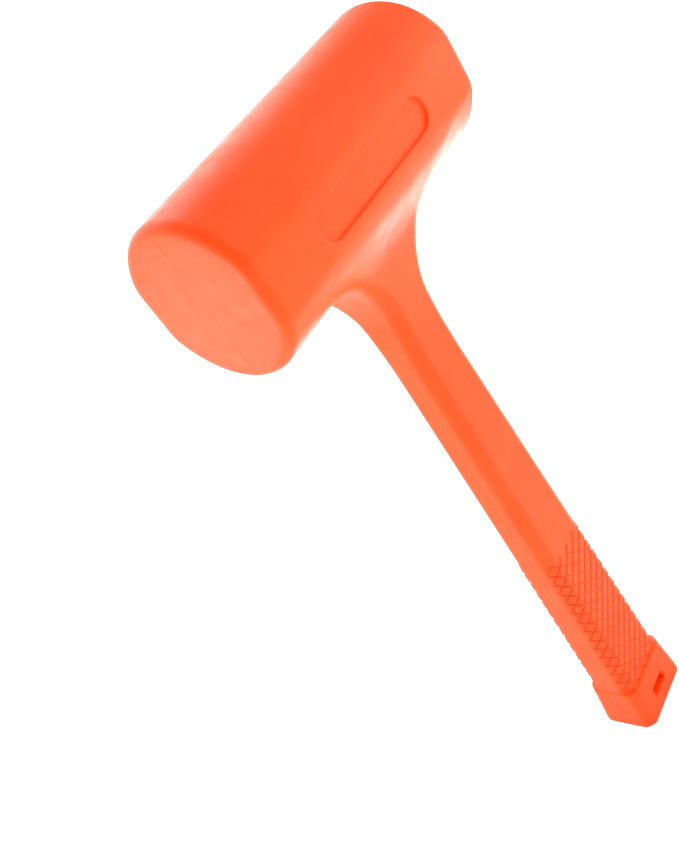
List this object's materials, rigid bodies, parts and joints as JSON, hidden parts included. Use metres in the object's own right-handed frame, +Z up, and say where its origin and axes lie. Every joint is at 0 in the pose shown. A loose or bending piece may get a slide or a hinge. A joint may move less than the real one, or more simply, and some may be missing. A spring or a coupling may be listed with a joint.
{
  "type": "dead-blow mallet",
  "caption": "Moulded dead-blow mallet: round head with flat faces, flared neck, tapered octagonal handle, slotted pommel, and a hidden steel canister of loose shot that stops rebound.",
  "frame": {"origin": "centre of the pommel's flat end", "axes": "+Z up the handle to the head, X along the head from striking face to striking face, -Y the front"},
  "size_m": [0.14, 0.062, 0.3577],
  "materials": {
    "moulded_urethane": "satin moulded elastomer, neon orange",
    "canister_steel": "turned mild steel",
    "weld_metal": "as-welded, heat tinted",
    "bar_steel": "hot-rolled bar with mill scale",
    "shot_steel": "tumbled steel balls"
  },
  "bodies": {
    "mallet": {"cover": "moulded_urethane", "canister_tube": "canister_steel", "left_end_cap": "canister_steel", "right_end_cap": "canister_steel", "left_cap_weld": "weld_metal", "right_cap_weld": "weld_metal", "handle_bar": "bar_steel", "bar_weld_bead": "weld_metal"},
    "shot": {"steel_shot": "shot_steel"}
  },
  "joints": [
    {"name": "shot_slide", "type": "slide", "parent": "mallet", "child": "shot", "axis": [1, 0, 0], "range_m": [-0.0103, 0.0103]}
  ]
}
